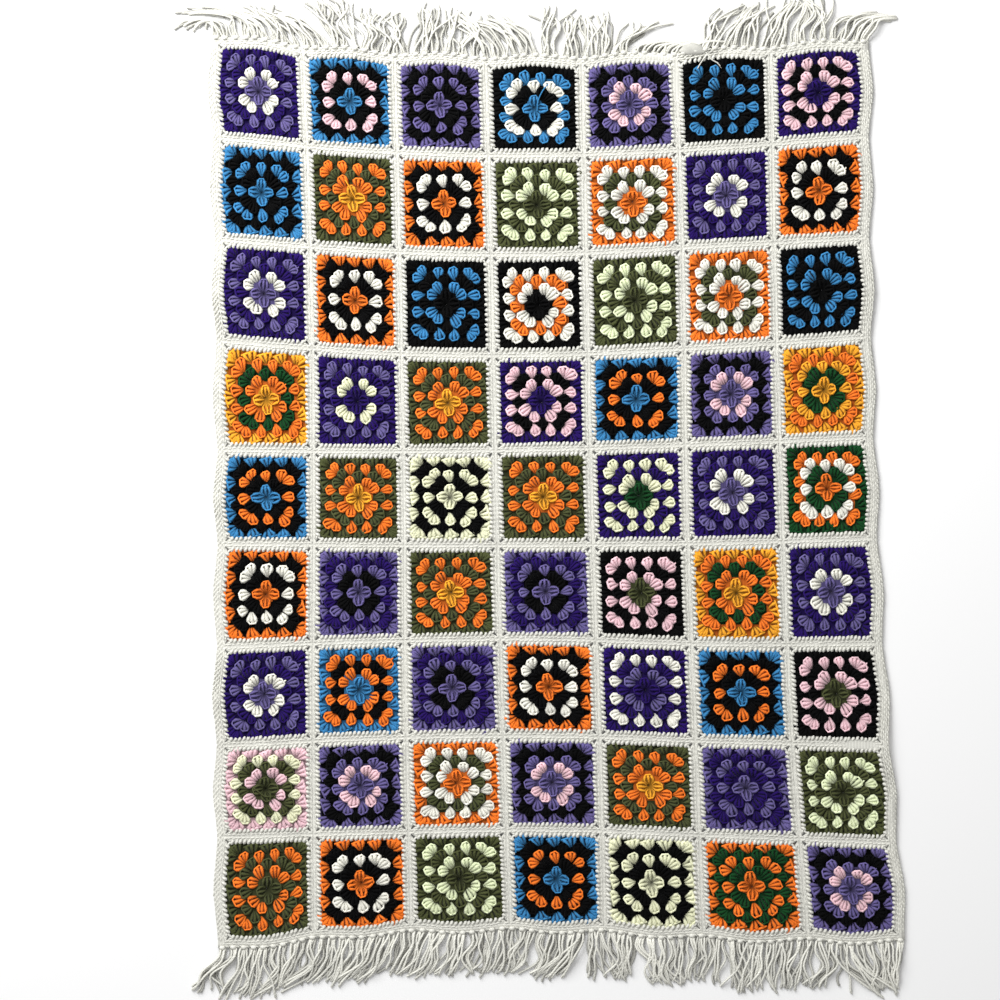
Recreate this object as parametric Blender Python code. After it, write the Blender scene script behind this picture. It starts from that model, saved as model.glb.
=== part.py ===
"""Granny square blanket, lying flat: seven by nine crochet squares with a knotted fringe at both ends.

Frame: metres, +Z up, +X to the right, +Y towards the head end.
The origin is under the middle of the whole piece, on the surface that it lies on.
"""
import math

import bmesh
import bpy
from mathutils import Vector

# Driving dimensions, in metres
SEAM_THICKNESS = 0.0040      # cloth at the seams between the squares
RIM_THICKNESS = 0.0050       # cloth at the last coloured round of a square
CROWN_THICKNESS = 0.0060     # cloth half way between a square's centre and its rim
CENTRE_THICKNESS = 0.0050    # cloth at the ring in a square's centre
BORDER_THICKNESS = 0.0042    # outer edge of the border
SIDE_BORDER = 0.0084         # border beyond the outer seam line, left and right
END_BORDER = 0.0066          # border beyond the outer seam line, head and foot
RING_HOLE = 0.0052           # hole in the middle of each square, corner to corner
CORNER_HOLE = 0.0046         # hole at a square's corner, along its two short sides
CORNER_HOLE_INSET = 0.0068   # from the crossing of two seams to the hole's middle
SCALLOP = 0.0062             # how far the outline draws in where a seam meets it
PART_GAP = 0.0003            # between the cloth and the strips that carry the fringe
KNOT_HEIGHT = 0.0060         # top of a fringe knot
KNOT_SHARE = 0.72            # width of a knot, as a share of the knots' spacing
STRAND_WIDTH = 0.0034
STRAND_HEIGHT = 0.0030
STRAND_SPACE = 0.0009        # least room between two strands
WIDEST_SLANT = 1.15          # most that a slanting strand widens along the edge
STRAND_WAVE = 0.0026         # how far a strand swings from side to side
WAVE_LENGTH = 0.085          # along a strand
WAVE_SPAN = 0.31             # along the edge

# Where the features of a square lie, from its centre (0) to its seams (1)
RIM_CORNER = 0.77
RIM_SIDE = 0.86
CROWN_CORNER = 0.44

# Seam lines from head to foot: x where each crosses five even stations along the length
COLUMN_SEAMS = (
    # name,        head,   upper,  middle,  lower,   foot
    ("left_edge", -0.488, -0.481, -0.478, -0.479, -0.477),
    ("seam_1",    -0.354, -0.342, -0.338, -0.339, -0.336),
    ("seam_2",    -0.218, -0.210, -0.204, -0.201, -0.193),
    ("seam_3",    -0.083, -0.074, -0.067, -0.058, -0.046),
    ("seam_4",     0.060,  0.067,  0.074,  0.085,  0.094),
    ("seam_5",     0.199,  0.210,  0.215,  0.227,  0.240),
    ("seam_6",     0.340,  0.346,  0.356,  0.370,  0.395),
    ("right_edge", 0.484,  0.485,  0.493,  0.511,  0.537),
)

# Seam lines from left to right: y where each crosses five even stations across the width
ROW_SEAMS = (
    # name,        left,  inner_left, middle, inner_right, right
    ("head_edge",  0.674,  0.650,  0.642,  0.651,  0.668),
    ("seam_a",     0.525,  0.505,  0.499,  0.509,  0.527),
    ("seam_b",     0.374,  0.357,  0.352,  0.364,  0.377),
    ("seam_c",     0.224,  0.206,  0.203,  0.214,  0.230),
    ("seam_d",     0.062,  0.060,  0.063,  0.071,  0.081),
    ("seam_e",    -0.077, -0.079, -0.079, -0.076, -0.069),
    ("seam_f",    -0.230, -0.221, -0.218, -0.226, -0.225),
    ("seam_g",    -0.376, -0.365, -0.362, -0.370, -0.376),
    ("seam_h",    -0.511, -0.505, -0.501, -0.510, -0.520),
    ("foot_edge", -0.676, -0.652, -0.648, -0.660, -0.665),
)

# Soft ripples where the border stands off the surface
RIPPLES = (
    # name,            x,      y,    half_x, half_y, rise
    ("head_curl",    0.226,  0.655,  0.050,  0.060, 0.0060),
    ("head_left",   -0.290,  0.650,  0.075,  0.050, 0.0035),
    ("left_upper",  -0.480,  0.290,  0.050,  0.090, 0.0040),
    ("left_middle", -0.480, -0.010,  0.045,  0.080, 0.0030),
    ("left_lower",  -0.478, -0.300,  0.050,  0.090, 0.0035),
    ("right_upper",  0.486,  0.300,  0.050,  0.090, 0.0035),
    ("right_lower",  0.520, -0.380,  0.055,  0.100, 0.0045),
    ("foot_right",   0.320, -0.655,  0.080,  0.050, 0.0035),
)

# Locks of fringe from left to right. lean is how far the tips lie to the right of the knots,
# gather is the tips' spacing as a share of the knots' spacing, reach is how far the tips lie out
HEAD_LOCKS = (
    # name,          knots, lean, gather, reach
    ("corner_curl",    2, -0.034, 1.00, 0.034),
    ("combed_left",    4, -0.044, 1.00, 0.047),
    ("swept_left",     6, -0.046, 0.95, 0.054),
    ("raised_left",    3, -0.030, 0.85, 0.068),
    ("short_arc",      1, -0.006, 0.90, 0.046),
    ("upright_left",   4, -0.008, 0.85, 0.062),
    ("leaning",        3,  0.004, 0.70, 0.068),
    ("gathered",       6, -0.008, 0.66, 0.070),
    ("laid_back",      4, -0.044, 0.85, 0.060),
    ("spire",          1, -0.008, 0.80, 0.072),
    ("upright_right",  5, -0.004, 0.85, 0.062),
    ("post",           1,  0.004, 0.85, 0.064),
    ("turning",        2,  0.020, 0.90, 0.040),
    ("lying",          7,  0.016, 0.95, 0.022),
    ("risen",          6,  0.026, 0.90, 0.062),
    ("tall",           7,  0.012, 0.85, 0.068),
    ("corner_fan",     4,  0.034, 1.60, 0.050),
)
FOOT_LOCKS = (
    # name,          knots, lean, gather, reach
    ("corner_splay",   1, -0.048, 0.90, 0.064),
    ("left_bunch",     2, -0.024, 0.70, 0.072),
    ("left_pair",      3, -0.020, 0.90, 0.076),
    ("crossed",        4, -0.026, 0.85, 0.074),
    ("swept_left",     8, -0.027, 0.85, 0.069),
    ("combed",         7, -0.018, 0.90, 0.067),
    ("combed_on",      7, -0.015, 0.90, 0.066),
    ("leaning",        5, -0.026, 0.70, 0.069),
    ("single",         1,  0.004, 0.70, 0.070),
    ("middle_bunch",   4,  0.004, 0.70, 0.069),
    ("parted",         5,  0.008, 0.80, 0.071),
    ("straight",       4,  0.000, 0.75, 0.067),
    ("gathered",       4,  0.002, 0.66, 0.073),
    ("loose",          5, -0.002, 0.85, 0.073),
    ("before_gap",     2, -0.004, 0.70, 0.073),
    ("swept_right",    5,  0.030, 0.66, 0.075),
    ("corner",         2,  0.002, 0.70, 0.074),
)

COLUMNS = len(COLUMN_SEAMS) - 1
ROWS = len(ROW_SEAMS) - 1
STRAND_STATIONS = (0.34, 0.68, 1.0)      # along a strand
TIP_SHARE = 0.65                         # size of a strand's tip against its middle

PATCHWORK_COLOUR = (0.30, 0.24, 0.20, 1.0)
ECRU_COLOUR = (0.80, 0.78, 0.68, 1.0)
YARN_ROUGHNESS = 0.92


def station_curve(values, share):
    """Smooth curve through evenly spaced values, at a share of its length from 0 to 1."""
    last = len(values) - 1
    place = share * last
    i = min(max(int(place), 0), last - 1)
    f = place - i
    a, b = values[i], values[i + 1]
    before = values[i - 1] if i > 0 else 2 * a - b
    after = values[i + 2] if i + 2 <= last else 2 * b - a
    bend = 2 * before - 5 * a + 4 * b - after
    twist = 3 * a - before - 3 * b + after
    return 0.5 * (2 * a + (b - before) * f + bend * f ** 2 + twist * f ** 3)


def between_seams(seams, place, share):
    """Position between two neighbouring seam lines, for a fractional line number."""
    i = min(max(int(place), 0), len(seams) - 2)
    a = station_curve(seams[i][1:], share)
    b = station_curve(seams[i + 1][1:], share)
    return a + (b - a) * (place - i)


def cloth_xy(column, row):
    """Point of the cloth at a fractional column and row number, counted from the head's left corner."""
    x = between_seams(COLUMN_SEAMS, column, row / ROWS)
    y = between_seams(ROW_SEAMS, row, column / COLUMNS)
    draw_x = SCALLOP * math.cos(math.pi * row) ** 2
    draw_y = SCALLOP * math.cos(math.pi * column) ** 2
    x += draw_x * (max(0.0, 1 - column) - max(0.0, column - COLUMNS + 1))
    y += draw_y * (max(0.0, row - ROWS + 1) - max(0.0, 1 - row))
    return x, y


def hump(distance, half):
    """Soft hump: 1 in its middle and 0 from half its width on."""
    return math.cos(0.5 * math.pi * min(1.0, abs(distance) / half)) ** 2


def lift(x, y):
    """Height of the cloth's underside over the surface."""
    return sum(rise * hump(x - cx, half_x) * hump(y - cy, half_y)
               for _, cx, cy, half_x, half_y, rise in RIPPLES)


class Skin:
    """Mesh under construction, with one vertex for each place."""

    def __init__(self):
        self.bm = bmesh.new()
        self.known = {}

    def vertex(self, x, y, z):
        key = (round(x, 7), round(y, 7), round(z, 7))
        if key not in self.known:
            self.known[key] = self.bm.verts.new((x, y, z))
        return self.known[key]

    def over(self, xy, thickness):
        """Vertex on the upper side."""
        return self.vertex(xy[0], xy[1], lift(*xy) + thickness)

    def under(self, xy):
        """Vertex on the underside."""
        return self.vertex(xy[0], xy[1], lift(*xy))

    def face(self, *vertices):
        self.bm.faces.new(vertices)

    def wall(self, path, thicknesses):
        """Upright faces from the underside to the upper side along a path."""
        for a, b, ta, tb in zip(path, path[1:], thicknesses, thicknesses[1:]):
            self.face(self.under(a), self.under(b), self.over(b, tb), self.over(a, ta))

    def finish(self, name, material):
        bmesh.ops.recalc_face_normals(self.bm, faces=self.bm.faces)
        mesh = bpy.data.meshes.new(name)
        self.bm.to_mesh(mesh)
        self.bm.free()
        mesh.shade_smooth()
        mesh.set_sharp_from_angle(angle=math.radians(40))
        mesh.materials.append(material)
        piece = bpy.data.objects.new(name, mesh)
        bpy.context.collection.objects.link(piece)
        return piece


def yarn_material(name, colour):
    material = bpy.data.materials.new(name)
    material.use_nodes = True
    shader = material.node_tree.nodes["Principled BSDF"]
    shader.inputs["Base Color"].default_value = colour
    shader.inputs["Roughness"].default_value = YARN_ROUGHNESS
    shader.inputs["Metallic"].default_value = 0.0
    return material


def in_square(column, row, across, up):
    """Point of a square's own field: across and up run from -1 to 1 between its seams."""
    return cloth_xy(column + 0.5 + across / 2, row + 0.5 - up / 2)


def build_corner(skin, column, row, sx, sy):
    """Quarter of one square, on both sides of the cloth. sx and sy point to its corner."""
    corner = in_square(column, row, sx, sy)
    side_x = in_square(column, row, sx, 0)
    side_y = in_square(column, row, 0, sy)
    rim = in_square(column, row, sx * RIM_CORNER, sy * RIM_CORNER)
    rim_x = in_square(column, row, sx * RIM_SIDE, 0)
    rim_y = in_square(column, row, 0, sy * RIM_SIDE)
    crown = in_square(column, row, sx * CROWN_CORNER, sy * CROWN_CORNER)
    centre = in_square(column, row, 0, 0)
    ring_x = (centre[0] + sx * RING_HOLE / 2, centre[1])
    ring_y = (centre[0], centre[1] + sy * RING_HOLE / 2)

    def seam(xy):
        return skin.over(xy, SEAM_THICKNESS)

    def high(xy):
        return skin.over(xy, RIM_THICKNESS)

    top = skin.over(crown, CROWN_THICKNESS)
    top_ring_x = skin.over(ring_x, CENTRE_THICKNESS)
    top_ring_y = skin.over(ring_y, CENTRE_THICKNESS)
    skin.face(high(rim_x), high(rim), top)
    skin.face(high(rim), high(rim_y), top)
    other_x = skin.over(in_square(column, row, sx * CROWN_CORNER, -sy * CROWN_CORNER), CROWN_THICKNESS)
    other_y = skin.over(in_square(column, row, -sx * CROWN_CORNER, sy * CROWN_CORNER), CROWN_THICKNESS)
    if sy > 0:
        skin.face(high(rim_x), top, other_x)
        skin.face(top_ring_x, other_x, top)
    if sx > 0:
        skin.face(high(rim_y), other_y, top)
        skin.face(top_ring_y, top, other_y)
    skin.face(top, top_ring_x, top_ring_y)
    skin.wall((ring_x, ring_y), (CENTRE_THICKNESS, CENTRE_THICKNESS))

    meets_x = 0 < column + (1 + sx) / 2 < COLUMNS
    meets_y = 0 < row + (1 - sy) / 2 < ROWS
    if not (meets_x and meets_y):
        skin.face(seam(side_x), seam(corner), high(rim), high(rim_x))
        skin.face(seam(corner), seam(side_y), high(rim_y), high(rim))
        skin.face(*map(skin.under, (side_x, corner, side_y, ring_y, ring_x)))
        return
    hole = (corner[0] - sx * CORNER_HOLE_INSET, corner[1] - sy * CORNER_HOLE_INSET)
    half = CORNER_HOLE / 2
    hole_x = (hole[0] + sx * half, hole[1] - sy * half)
    hole_y = (hole[0] - sx * half, hole[1] + sy * half)
    hole_in = (hole[0] - sx * half, hole[1] - sy * half)
    skin.face(seam(corner), seam(hole_x), seam(hole_y))
    skin.face(seam(side_x), seam(corner), seam(hole_x))
    skin.face(seam(side_y), seam(corner), seam(hole_y))
    skin.face(high(rim_x), seam(side_x), seam(hole_x))
    skin.face(high(rim_y), seam(side_y), seam(hole_y))
    skin.face(high(rim_x), seam(hole_x), seam(hole_in), high(rim))
    skin.face(high(rim_y), seam(hole_y), seam(hole_in), high(rim))
    skin.face(*map(skin.under, (corner, hole_x, hole_y)))
    skin.face(*map(skin.under, (side_x, corner, hole_x)))
    skin.face(*map(skin.under, (side_y, corner, hole_y)))
    skin.face(*map(skin.under, (side_x, hole_x, hole_in)))
    skin.face(*map(skin.under, (side_y, hole_y, hole_in)))
    skin.face(*map(skin.under, (side_x, hole_in, side_y, ring_y, ring_x)))
    skin.wall((hole_x, hole_y, hole_in, hole_x), (SEAM_THICKNESS,) * 4)


def side_line(column, outward):
    """Seam line and outline of a side border, at each corner and middle of its squares."""
    steps = [row / 2 for row in range(2 * ROWS + 1)]
    seam = [cloth_xy(column, row) for row in steps]
    outline = [(x + outward * SIDE_BORDER, y) for x, y in seam]
    return seam, outline


def end_line(row):
    """Edge of the cloth at the head or the foot, from the left outline to the right outline."""
    inner = [cloth_xy(column / 2, row) for column in range(2 * COLUMNS + 1)]
    left = (inner[0][0] - SIDE_BORDER, inner[0][1])
    right = (inner[-1][0] + SIDE_BORDER, inner[-1][1])
    return [left] + inner + [right]


def build_cloth(material):
    """The joined squares and the two side borders, in one piece."""
    skin = Skin()
    for row in range(ROWS):
        for column in range(COLUMNS):
            for sx in (-1, 1):
                for sy in (-1, 1):
                    build_corner(skin, column, row, sx, sy)
    for column, outward in ((0, -1), (COLUMNS, 1)):
        seam, outline = side_line(column, outward)
        for a, b, c, d in zip(seam, seam[1:], outline[1:], outline):
            skin.face(skin.over(a, SEAM_THICKNESS), skin.over(b, SEAM_THICKNESS),
                      skin.over(c, BORDER_THICKNESS), skin.over(d, BORDER_THICKNESS))
            skin.face(*map(skin.under, (a, b, c, d)))
        skin.wall(outline, (BORDER_THICKNESS,) * len(outline))
    for row in (0, ROWS):
        edge = end_line(row)
        thicknesses = [BORDER_THICKNESS] + [SEAM_THICKNESS] * (len(edge) - 2) + [BORDER_THICKNESS]
        skin.wall(edge, thicknesses)
    return skin.finish("blanket", material)


def along(path, x):
    """Height y of a path that runs from left to right, at x."""
    for (ax, ay), (bx, by) in zip(path, path[1:]):
        if x <= bx:
            return ay + (by - ay) * (x - ax) / (bx - ax)
    return path[-1][1]


def comb(locks, roots):
    """Slope and reach of each strand, so that no strand crosses its neighbour."""
    strands = []
    first = 0
    for _, knots, lean, gather, reach in locks:
        own = roots[first:first + 2 * knots]
        middle = sum(own) / len(own)
        for x in own:
            strands.append([x, (lean + (gather - 1) * (x - middle)) / reach, reach])
        first += 2 * knots
    for _ in range(200):
        for a, b in zip(strands, strands[1:]):
            shared = min(a[2], b[2])
            room = b[0] - a[0] - strand_half(a[1]) - strand_half(b[1]) - STRAND_SPACE
            excess = (a[1] - b[1]) * shared - room
            if excess > 0:
                a[1] -= excess / shared / 2
                b[1] += excess / shared / 2
    return strands


def strand_half(slope):
    """Half of a strand's width, measured along the edge."""
    return 0.5 * STRAND_WIDTH * min(math.hypot(1, slope), WIDEST_SLANT)


def grow_strand(skin, root, start, strand, outward):
    """Lay one three-sided strand on the surface, out of a triangle (top, left, right) in the strip."""
    x, slope, reach = strand
    ring = root
    for share in STRAND_STATIONS:
        out = share * reach
        swing = STRAND_WAVE * share * math.sin(2 * math.pi * (out / WAVE_LENGTH + x / WAVE_SPAN))
        swing /= 1 + slope ** 2
        size = TIP_SHARE if share == STRAND_STATIONS[-1] else 1.0
        half = strand_half(slope) * size
        here = Vector((x + slope * out + swing, start + outward * out, 0))
        section = (skin.vertex(here.x, here.y, STRAND_HEIGHT * size),
                   skin.vertex(here.x - half, here.y, 0),
                   skin.vertex(here.x + half, here.y, 0))
        for i in range(3):
            j = (i + 1) % 3
            skin.face(ring[i], ring[j], section[j], section[i])
        ring = section
    skin.face(*ring)


def build_fringe(name, row, outward, locks, material):
    """Border strip along one end, its raised knots, and two strands out of each knot."""
    skin = Skin()
    edge = [(x, y + outward * PART_GAP) for x, y in end_line(row)]
    left, right = edge[0][0], edge[-1][0]
    knots = sum(lock[1] for lock in locks)
    pitch = (right - left) / knots
    half = pitch * KNOT_SHARE / 2
    foot = half * 0.8            # width of a strand's root on the underside

    def outer(x):
        return x, along(edge, x) + outward * END_BORDER

    middles = [left + pitch * (k + 0.5) for k in range(knots)]
    roots = [x + side * (half - foot / 2) for x in middles for side in (-1, 1)]
    strands = comb(locks, roots)
    ends = [left] + [left + pitch * (k + 1) for k in range(knots - 1)] + [right]
    shared = [(x, along(edge, x)) for x in ends]
    outline = [outer(left)]
    for k, middle in enumerate(middles):
        inner = [shared[k]] + [p for p in edge if ends[k] < p[0] < ends[k + 1]] + [shared[k + 1]]
        out_left, out_right = outer(middle - half), outer(middle + half)
        low_left, low_right = outer(middle - half + foot), outer(middle + half - foot)
        knot = outer(middle)
        apex = skin.over((knot[0], knot[1] - outward * END_BORDER * 0.35), KNOT_HEIGHT)
        rim = [skin.over(p, SEAM_THICKNESS) for p in inner]
        rim += [skin.over(out_right, BORDER_THICKNESS), skin.over(out_left, BORDER_THICKNESS)]
        for a, b in zip(rim, rim[1:] + rim[:1]):
            skin.face(apex, a, b)
        skin.face(*map(skin.under, inner + [out_right, low_right, low_left, out_left]))
        skin.wall(inner, (SEAM_THICKNESS,) * len(inner))
        top_left, top_right = skin.over(out_left, BORDER_THICKNESS), skin.over(out_right, BORDER_THICKNESS)
        skin.face(top_left, skin.under(low_left), skin.under(low_right), top_right)
        root = (top_left, skin.under(out_left), skin.under(low_left))
        grow_strand(skin, root, out_left[1], strands[2 * k], outward)
        root = (top_right, skin.under(low_right), skin.under(out_right))
        grow_strand(skin, root, out_right[1], strands[2 * k + 1], outward)
        gap = (outline[-1], out_left)
        skin.wall(gap, (BORDER_THICKNESS, BORDER_THICKNESS))
        skin.face(skin.over(shared[k], SEAM_THICKNESS), *(skin.over(p, BORDER_THICKNESS) for p in gap))
        skin.face(*map(skin.under, (shared[k],) + gap))
        outline.append(out_right)
    last = (outline[-1], outer(right))
    skin.wall(last, (BORDER_THICKNESS, BORDER_THICKNESS))
    skin.face(skin.over(shared[-1], SEAM_THICKNESS), *(skin.over(p, BORDER_THICKNESS) for p in last))
    skin.face(*map(skin.under, (shared[-1],) + last))
    for inner, out in ((edge[0], outer(left)), (edge[-1], outer(right))):
        skin.wall((inner, out), (SEAM_THICKNESS, BORDER_THICKNESS))
    return skin.finish(name, material)


def centre_on_origin(pieces):
    """Move the pieces so that the middle of their common box stands over the origin."""
    points = [v.co for piece in pieces for v in piece.data.vertices]
    middle_x = (min(p.x for p in points) + max(p.x for p in points)) / 2
    middle_y = (min(p.y for p in points) + max(p.y for p in points)) / 2
    for piece in pieces:
        piece.location = (-middle_x, -middle_y, 0)


def main():
    for old in list(bpy.data.objects):
        bpy.data.objects.remove(old)
    patchwork = yarn_material("patchwork_yarn", PATCHWORK_COLOUR)
    ecru = yarn_material("ecru_yarn", ECRU_COLOUR)
    centre_on_origin((
        build_cloth(patchwork),
        build_fringe("fringe_head", 0, 1, HEAD_LOCKS, ecru),
        build_fringe("fringe_foot", ROWS, -1, FOOT_LOCKS, ecru),
    ))


main()
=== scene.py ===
"""Granny square blanket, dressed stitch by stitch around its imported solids.

Everything is in metres, in the frame of the solids: +X to the right, +Y towards the head end, +Z up.
A square's own field runs from -1 to 1 between its seams, across (to the right) and up (to the head).
"""
import functools
import math

import bpy
import numpy as np
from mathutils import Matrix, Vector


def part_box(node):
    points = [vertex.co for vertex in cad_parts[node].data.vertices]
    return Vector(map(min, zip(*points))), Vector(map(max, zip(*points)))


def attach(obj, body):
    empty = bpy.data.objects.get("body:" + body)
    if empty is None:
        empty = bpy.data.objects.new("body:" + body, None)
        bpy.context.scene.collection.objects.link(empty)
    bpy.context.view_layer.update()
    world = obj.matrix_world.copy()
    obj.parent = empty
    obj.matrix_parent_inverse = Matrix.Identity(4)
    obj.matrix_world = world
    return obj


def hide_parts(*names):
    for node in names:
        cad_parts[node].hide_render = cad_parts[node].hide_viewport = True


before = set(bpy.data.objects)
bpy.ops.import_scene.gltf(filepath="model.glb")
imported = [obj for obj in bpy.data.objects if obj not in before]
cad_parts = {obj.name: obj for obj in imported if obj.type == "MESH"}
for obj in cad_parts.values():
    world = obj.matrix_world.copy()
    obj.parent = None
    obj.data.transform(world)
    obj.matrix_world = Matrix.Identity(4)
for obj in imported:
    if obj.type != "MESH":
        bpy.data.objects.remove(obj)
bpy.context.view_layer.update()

# ---- sizes of the cloth, as in its solids
SIDE_BORDER = 0.0084  # width of the left and right borders
END_BORDER = 0.0066  # and of the others
SCALLOP = 0.0062  # how far the sides draw in where a seam meets them
RIM_THICKNESS = 0.005
CROWN_THICKNESS = 0.006
CROWN_REACH = 0.5  # a square is thickest this far out of its centre
COLUMN_SEAMS = (
    # head, upper, middle, lower, foot
    (-0.488, -0.481, -0.478, -0.479, -0.477),
    (-0.354, -0.342, -0.338, -0.339, -0.336),
    (-0.218, -0.21, -0.204, -0.201, -0.193),
    (-0.083, -0.074, -0.067, -0.058, -0.046),
    (0.06, 0.067, 0.074, 0.085, 0.094),
    (0.199, 0.21, 0.215, 0.227, 0.24),
    (0.34, 0.346, 0.356, 0.37, 0.395),
    (0.484, 0.485, 0.493, 0.511, 0.537),
)
ROW_SEAMS = (
    # left, inner_left, middle, inner_right, right
    (0.674, 0.65, 0.642, 0.651, 0.668),
    (0.525, 0.505, 0.499, 0.509, 0.527),
    (0.374, 0.357, 0.352, 0.364, 0.377),
    (0.224, 0.206, 0.203, 0.214, 0.23),
    (0.062, 0.06, 0.063, 0.071, 0.081),
    (-0.077, -0.079, -0.079, -0.076, -0.069),
    (-0.23, -0.221, -0.218, -0.226, -0.225),
    (-0.376, -0.365, -0.362, -0.37, -0.376),
    (-0.511, -0.505, -0.501, -0.51, -0.52),
    (-0.676, -0.652, -0.648, -0.66, -0.665),
)
RIPPLES = (
    # x, y, half_x, half_y, rise
    (0.226, 0.655, 0.05, 0.06, 0.006),
    (-0.29, 0.65, 0.075, 0.05, 0.0035),
    (-0.48, 0.29, 0.05, 0.09, 0.004),
    (-0.48, -0.01, 0.045, 0.08, 0.003),
    (-0.478, -0.3, 0.05, 0.09, 0.0035),
    (0.486, 0.3, 0.05, 0.09, 0.0035),
    (0.52, -0.38, 0.055, 0.1, 0.0045),
    (0.32, -0.655, 0.08, 0.05, 0.0035),
)
COLUMNS = len(COLUMN_SEAMS) - 1
ROWS = len(ROW_SEAMS) - 1

# ---- colours of yarn and the squares' recipes
YARNS = {
    # letter: (name, red, green, blue) as seen, 0 to 255
    "K": ("black", 8, 8, 9),
    "P": ("purple", 39, 18, 96),
    "V": ("lavender", 108, 98, 152),
    "B": ("blue", 63, 136, 190),
    "O": ("orange", 255, 130, 45),
    "G": ("gold", 255, 177, 52),
    "L": ("olive", 78, 83, 50),
    "D": ("pine", 19, 70, 33),
    "M": ("mint", 230, 239, 197),
    "C": ("cream", 238, 239, 203),
    "W": ("white", 241, 239, 227),
    "R": ("rose", 240, 200, 208),
    "E": ("ecru", 228, 227, 218),
}
# One word for each square, head row first: its five rounds from the centre out
RECIPES = (
    "VWPVP BKRKB VKVKV BKWBK VRVKV KBKBK PRKRP",
    "BKBKB GOLOL OKWKO LMLML OWLWO VWPVP OKWKO",
    "VWPVP OKWKO KBKBK KWOWK LMLML OWLWO KBKBK",
    "GODOG PCPVP GOLOL PRKRP BKOKB VRVKV GDGOG",
    "BKOKB GOLOL CKCKC GOLOL DCPCP VWPVP ODWOD",
    "OKWKO VKVPV GOLOL VKVPV LRKRK GODOG VWPVP",
    "VWPVP BOKOB VKVPV OKWKO PVPWP BKOKB LRKRK",
    "LRLCR VRVKV OWLWO VRVKV GOLOL VPVPV LMLML",
    "LOLOL OKWKO LMLML BKOKB CKCKC ODODO VRVKV",
)

# ---- stitches, in a square's own field
ROUNDS = 5
FIRST_ROUND = 0.172  # from the centre to the middle of the first round's clusters
ROUND_STEP = 0.146  # from one round to the next
CLUSTER_PITCH = 0.338  # between the clusters of one side
INWARD = (0.114, 0.122, 0.13, 0.13, 0.086)  # by round, from its middle to its clusters' feet
OUTWARD = (0.098, 0.104, 0.108, 0.112, 0.094)  # and to their tops
FAN = (0.0, 0.042, 0.018, 0.024, 0.05)  # of a corner cluster's top towards the corner
CORNER_DRAW = 0.03  # of a corner cluster's foot away from the corner
CORNER_SHARE = 0.8  # of a cluster's inner length that shows where two share a corner
LEAN = 0.044  # of a cluster's top
FOOT_LEAN = LEAN / 4  # of its foot the other way
FIRST_LEAN = LEAN / 2  # of a top in the first round
TEETH = 18  # single crochets along each side of the joining round, but for its corners
CHAINS = TEETH + 2  # chain stitches along it, with its corners
TOOTH_REACH = 0.845  # how far along a side the teeth go
CHAIN_REACH = 0.985
YARN_RADIUS = 0.00142
STITCH_SIDES = 4  # of a stitch's yarn in section
RIDGE = 0.25  # share of the way round a yarn, from its side, where its ridge lies
TURN = 0.0045  # length of yarn in which its plies wind once round
TINY = 1e-12  # against division by nought

# How unevenly a square is worked: spreads of the seeded draws, in its own field
MIDDLE_TURN, MIDDLE_DRIFT = 2.2, 0.016  # of its middle, in degrees and aside
MIDDLE_REACH = 1.15  # where both have died away
FOOT_STRAY, TOP_STRAY, BEND_STRAY = 0.009, 0.013, 0.012  # of a cluster
LAST_LOOSE = 0.6  # share of the first two that the last round has
WIDTH_STRAY, FATNESS_STRAY, SHADE_STRAY = 0.06, 0.05, 0.04  # as shares
POST_STRAY, LENGTH_STRAY = 0.05, 0.02  # in half widths and lengths of the cluster
START_OUT_STRAY, START_ACROSS_STRAY = 0.012, 0.02  # of the chain that starts a round
SIDE_STRAY, SIDE_FATNESS_STRAY, CORNER_STRAY = 0.005, 0.04, 0.003  # in the joining round
HEIGHT_STRAY, SIDE_HEIGHT_STRAY = 0.0002, 0.00018  # in metres
TONE_STRAY = 0.02  # of ecru yarn
SQUARE_SEED, SEAM_SEED = 1000, 7


def station_curve(values, share):
    """Smooth curve through evenly spaced values, at shares of its length from 0 to 1."""
    values = np.asarray(values, float)
    last = len(values) - 1
    place = share * last
    i = np.clip(place.astype(int), 0, last - 1)
    f = place - i
    padded = np.concatenate(([2 * values[0] - values[1]], values, [2 * values[-1] - values[-2]]))
    before, a, b, after = padded[i], padded[i + 1], padded[i + 2], padded[i + 3]
    bend = 2 * before - 5 * a + 4 * b - after
    twist = 3 * a - before - 3 * b + after
    return 0.5 * (2 * a + (b - before) * f + bend * f ** 2 + twist * f ** 3)


def between_seams(seams, place, share):
    """Position between two neighbouring seam lines, for fractional line numbers."""
    lines = np.stack([station_curve(seam, share) for seam in seams])
    i = np.clip(place.astype(int), 0, len(seams) - 2)
    pick = np.arange(len(place))
    a, b = lines[i, pick], lines[i + 1, pick]
    return a + (b - a) * (place - i)


def cloth_xy(column, row):
    """Points of the cloth at fractional column and row numbers, before it is centred."""
    column, row = np.broadcast_arrays(np.asarray(column, float), np.asarray(row, float))
    shape = column.shape
    column, row = column.ravel(), row.ravel()
    x = between_seams(COLUMN_SEAMS, column, row / ROWS)
    y = between_seams(ROW_SEAMS, row, column / COLUMNS)
    draw_x = SCALLOP * np.cos(np.pi * row) ** 2
    draw_y = SCALLOP * np.cos(np.pi * column) ** 2
    x += draw_x * (np.maximum(0, 1 - column) - np.maximum(0, column - COLUMNS + 1))
    y += draw_y * (np.maximum(0, row - ROWS + 1) - np.maximum(0, 1 - row))
    return np.stack((x, y), -1).reshape(shape + (2,))


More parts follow.
